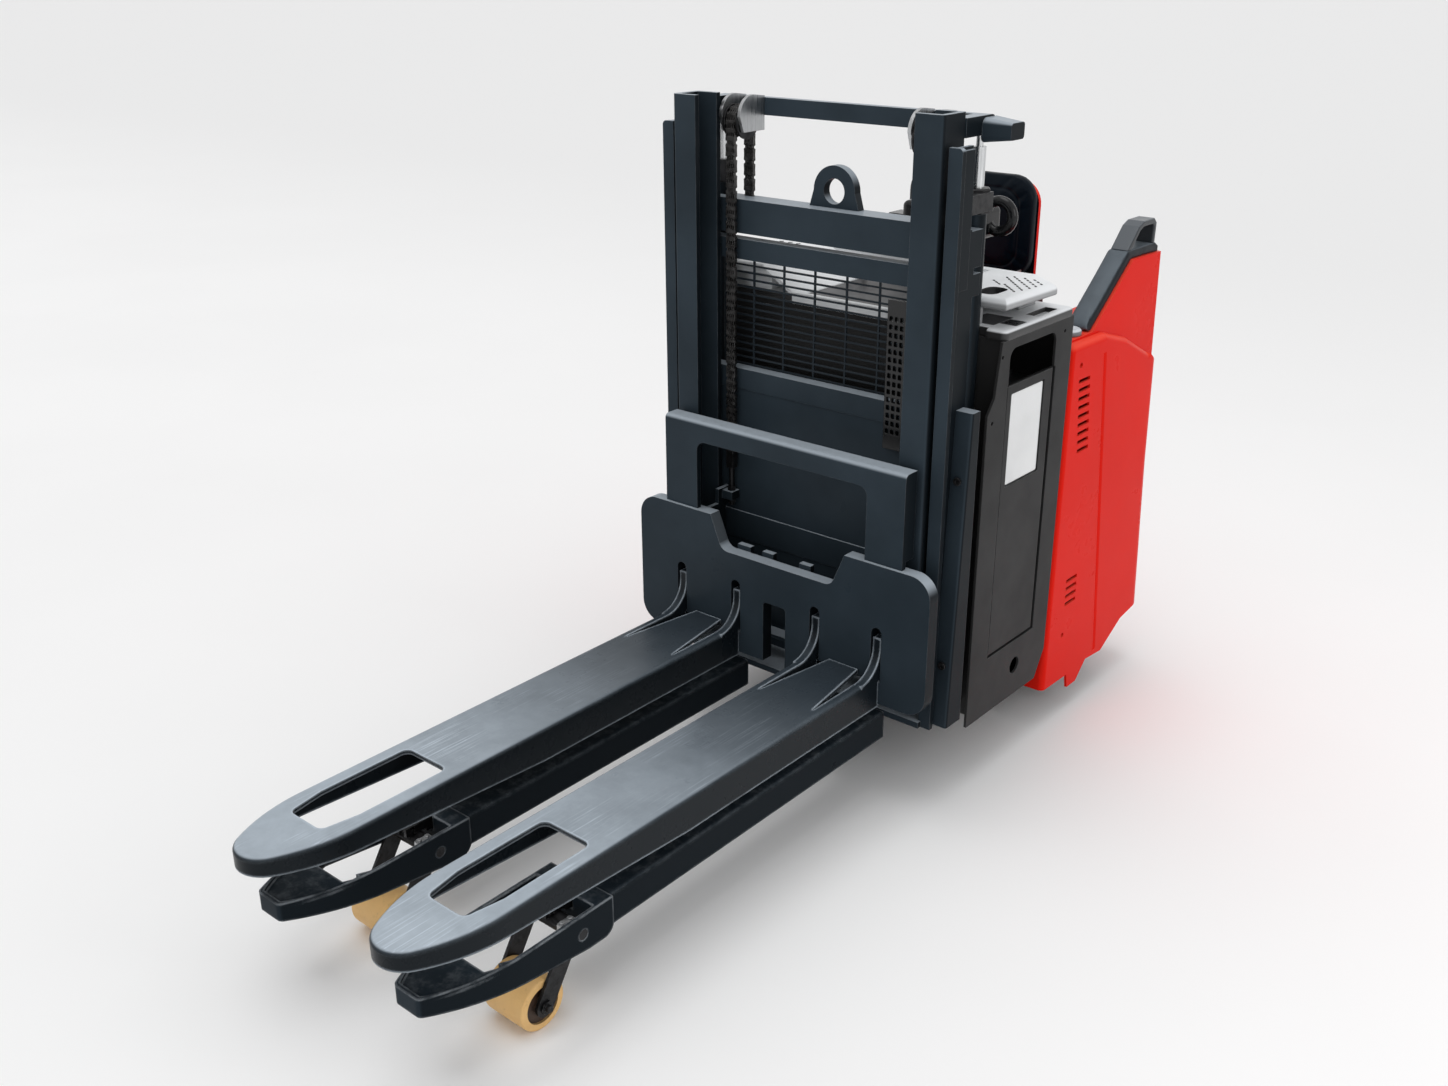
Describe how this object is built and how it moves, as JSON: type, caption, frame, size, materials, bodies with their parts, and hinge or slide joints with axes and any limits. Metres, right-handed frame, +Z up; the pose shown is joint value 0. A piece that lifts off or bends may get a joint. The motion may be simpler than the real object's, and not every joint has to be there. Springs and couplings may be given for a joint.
{
  "type": "pallet stacker",
  "caption": "Stand-on pallet stacker: forks on a two-stage chain mast over wheeled support arms, with a battery box, steered drive unit, driver's platform and padded backrest.",
  "frame": {"origin": "on the floor, under the middle of the bounding box", "axes": "+Z up, -Y towards the fork tips, +Y towards the driver, +X to the left hand of someone standing on the platform and facing the forks"},
  "size_m": [0.79, 2.265, 1.454],
  "materials": {
    "mast_paint": "semi-gloss dark blue-grey paint",
    "fork_paint": "dark blue-grey paint, scuffed on top",
    "box_paint": "satin charcoal paint",
    "red_shell": "smooth red moulding",
    "hood_plastic": "grained charcoal moulding",
    "tray_plastic": "satin silver-grey moulding",
    "black_plastic": "grained black moulding",
    "red_plastic": "glossy red moulding",
    "yellow_plastic": "glossy amber moulding",
    "polyurethane": "cast tan polyurethane",
    "drive_tyre": "solid black tread",
    "mat_rubber": "ribbed rubber",
    "steel": "machined steel",
    "dark_steel": "oiled dark steel",
    "bracket_steel": "zinc-plated steel",
    "rod_chrome": "hard chrome",
    "pad_skin": "stitched dark grey vinyl",
    "battery_case": "moulded cell case"
  },
  "bodies": {
    "drive_unit": {"chassis": "box_paint", "right_shell": "red_shell", "left_shell": "red_shell", "backrest_pad": "pad_skin", "side_pad": "pad_skin", "grab_handle": "black_plastic", "steering_tower": "hood_plastic", "initial_lift_cylinder": "box_paint", "pump_unit": "box_paint"},
    "front_section": {"outer_mast": "mast_paint", "lifting_eye": "mast_paint", "mast_guard": "box_paint", "hose_guide": "black_plastic", "mast_covers": "mast_paint", "cover_screws": "dark_steel", "lift_cylinders": "mast_paint", "cylinder_glands": "dark_steel", "support_arms": "mast_paint", "arm_tips": "mast_paint", "lever_pins": "steel", "battery_box": "box_paint", "battery": "battery_case", "side_doors": "box_paint", "initial_lift_rod": "rod_chrome", "chain_rear": "dark_steel"},
    "inner_mast": {"inner_mast": "mast_paint", "crosshead": "mast_paint", "pulley_brackets": "bracket_steel", "lift_rods": "rod_chrome", "chain_front": "dark_steel"},
    "carriage": {"carriage_plate": "mast_paint", "load_backrest": "mast_paint", "fork_left": "fork_paint", "fork_right": "fork_paint", "chain_anchors": "steel"},
    "load_levers": {"load_levers": "dark_steel", "wheel_axles": "dark_steel"},
    "battery_hood": {"battery_hood": "hood_plastic", "hood_tray": "tray_plastic"},
    "platform": {"platform": "box_paint", "platform_mat": "mat_rubber"},
    "drive_turret": {"drive_turret": "dark_steel", "drive_motor": "box_paint"},
    "chain_pulleys": {"chain_pulleys": "steel"},
    "mast_rollers": {"mast_rollers": "steel"},
    "carriage_rollers_upper": {"carriage_rollers_upper": "steel"},
    "carriage_rollers_lower": {"carriage_rollers_lower": "steel"},
    "load_wheel_left": {"load_wheel_left": "polyurethane"},
    "load_wheel_right": {"load_wheel_right": "polyurethane"},
    "push_rods": {"push_rods": "dark_steel"},
    "hood_latch": {"hood_latch": "black_plastic"},
    "drive_wheel": {"drive_wheel": "drive_tyre"},
    "castor_fork": {"castor_fork": "dark_steel"},
    "castor_wheel": {"castor_wheel": "drive_tyre"},
    "steering_head": {"steering_head": "black_plastic"},
    "lift_rocker": {"lift_rocker": "black_plastic"},
    "horn_button": {"horn_button": "yellow_plastic"},
    "drive_butterfly": {"drive_butterfly": "black_plastic"},
    "emergency_stop": {"emergency_stop": "red_plastic"},
    "key_switch": {"key_switch": "steel"}
  },
  "joints": [
    {"name": "initial_lift", "type": "slide", "parent": "drive_unit", "child": "front_section", "axis": [0, 0, 1], "range_m": [-0.12, 0]},
    {"name": "mast_lift", "type": "slide", "parent": "front_section", "child": "inner_mast", "axis": [0, 0, 1], "range_m": [-0.047, 0.64], "deforming": ["chain_rear"]},
    {"name": "carriage_lift", "type": "slide", "parent": "inner_mast", "child": "carriage", "axis": [0, 0, 1], "range_m": [-0.047, 0.64], "deforming": ["chain_front"]},
    {"name": "pulley_turn", "type": "hinge", "parent": "inner_mast", "child": "chain_pulleys", "pos_m": [0, 0.26, 1.395], "axis": [1, 0, 0], "range_deg": [-1203, 89]},
    {"name": "upper_rollers_turn", "type": "hinge", "parent": "carriage", "child": "carriage_rollers_upper", "pos_m": [0, 0.1925, 0.5], "axis": [1, 0, 0], "continuous": true},
    {"name": "lower_rollers_turn", "type": "hinge", "parent": "carriage", "child": "carriage_rollers_lower", "pos_m": [0, 0.1925, 0.35], "axis": [1, 0, 0], "continuous": true},
    {"name": "mast_rollers_turn", "type": "hinge", "parent": "inner_mast", "child": "mast_rollers", "pos_m": [0, 0.1975, 0.32], "axis": [1, 0, 0], "continuous": true},
    {"name": "lever_swing", "type": "hinge", "parent": "front_section", "child": "load_levers", "pos_m": [0, -0.77216, 0.168], "axis": [1, 0, 0], "range_deg": [-58.3, 0]},
    {"name": "load_wheel_left_spin", "type": "hinge", "parent": "load_levers", "child": "load_wheel_left", "pos_m": [-0.19, -0.8475, 0.05], "axis": [1, 0, 0], "continuous": true},
    {"name": "load_wheel_right_spin", "type": "hinge", "parent": "load_levers", "child": "load_wheel_right", "pos_m": [0.19, -0.8475, 0.05], "axis": [1, 0, 0], "continuous": true},
    {"name": "push_rod_slide", "type": "slide", "parent": "front_section", "child": "push_rods", "axis": [0, 1, 0], "range_m": [0, 0.0273]},
    {"name": "hood_open", "type": "hinge", "parent": "front_section", "child": "battery_hood", "pos_m": [0, 0.6145, 1.08], "axis": [-1, 0, 0], "range_deg": [0, 60]},
    {"name": "latch_turn", "type": "hinge", "parent": "battery_hood", "child": "hood_latch", "pos_m": [0.378, 0.4005, 1.025], "axis": [0, 1, 0], "range_deg": [0, 30], "stiffness_Nm_per_rad": 0.4},
    {"name": "platform_press", "type": "hinge", "parent": "drive_unit", "child": "platform", "pos_m": [0, 0.8145, 0.178], "axis": [1, 0, 0], "range_deg": [-3, 0], "stiffness_Nm_per_rad": 400, "springref_deg": 5.73},
    {"name": "drive_steer", "type": "hinge", "parent": "drive_unit", "child": "drive_turret", "pos_m": [-0.245, 0.7825, 0.25], "axis": [0, 0, 1], "range_deg": [-90, 90]},
    {"name": "drive_spin", "type": "hinge", "parent": "drive_turret", "child": "drive_wheel", "pos_m": [-0.245, 0.7825, 0.115], "axis": [1, 0, 0], "continuous": true},
    {"name": "castor_swivel", "type": "hinge", "parent": "drive_unit", "child": "castor_fork", "pos_m": [0.29, 0.9425, 0.155], "axis": [0, 0, 1], "continuous": true},
    {"name": "castor_spin", "type": "hinge", "parent": "castor_fork", "child": "castor_wheel", "pos_m": [0.29, 0.9725, 0.06], "axis": [1, 0, 0], "continuous": true},
    {"name": "steering_turn", "type": "hinge", "parent": "drive_unit", "child": "steering_head", "pos_m": [0, 0.7375, 1.1], "axis": [0, 0, 1], "range_deg": [-40, 40]},
    {"name": "butterfly_turn", "type": "hinge", "parent": "steering_head", "child": "drive_butterfly", "pos_m": [0.054, 0.7735, 1.158], "axis": [1, 0, 0], "range_deg": [-20, 20], "stiffness_Nm_per_rad": 0.8},
    {"name": "rocker_turn", "type": "hinge", "parent": "steering_head", "child": "lift_rocker", "pos_m": [-0.065, 0.7375, 1.184], "axis": [1, 0, 0], "range_deg": [-8, 8], "stiffness_Nm_per_rad": 0.8},
    {"name": "horn_press", "type": "slide", "parent": "steering_head", "child": "horn_button", "axis": [0, 0, 1], "range_m": [-0.004, 0], "stiffness_N_per_m": 600, "springref_m": 0.004},
    {"name": "estop_press", "type": "slide", "parent": "drive_unit", "child": "emergency_stop", "axis": [0, 0, 1], "range_m": [-0.006, 0]},
    {"name": "key_turn", "type": "hinge", "parent": "drive_unit", "child": "key_switch", "pos_m": [0.175, 0.7565, 1.045], "axis": [0, 0, 1], "range_deg": [0, 90]}
  ],
  "couplings": [
    {"joint": "carriage_lift", "follows": "mast_lift", "ratio": 1},
    {"joint": "pulley_turn", "follows": "mast_lift", "rad_per_m": -32.787},
    {"joint": "lever_swing", "follows": "initial_lift", "rad_per_m": 8.4737},
    {"joint": "push_rod_slide", "follows": "initial_lift", "ratio": -0.2272},
    {"joint": "steering_turn", "follows": "drive_steer", "ratio": 0.4444}
  ]
}
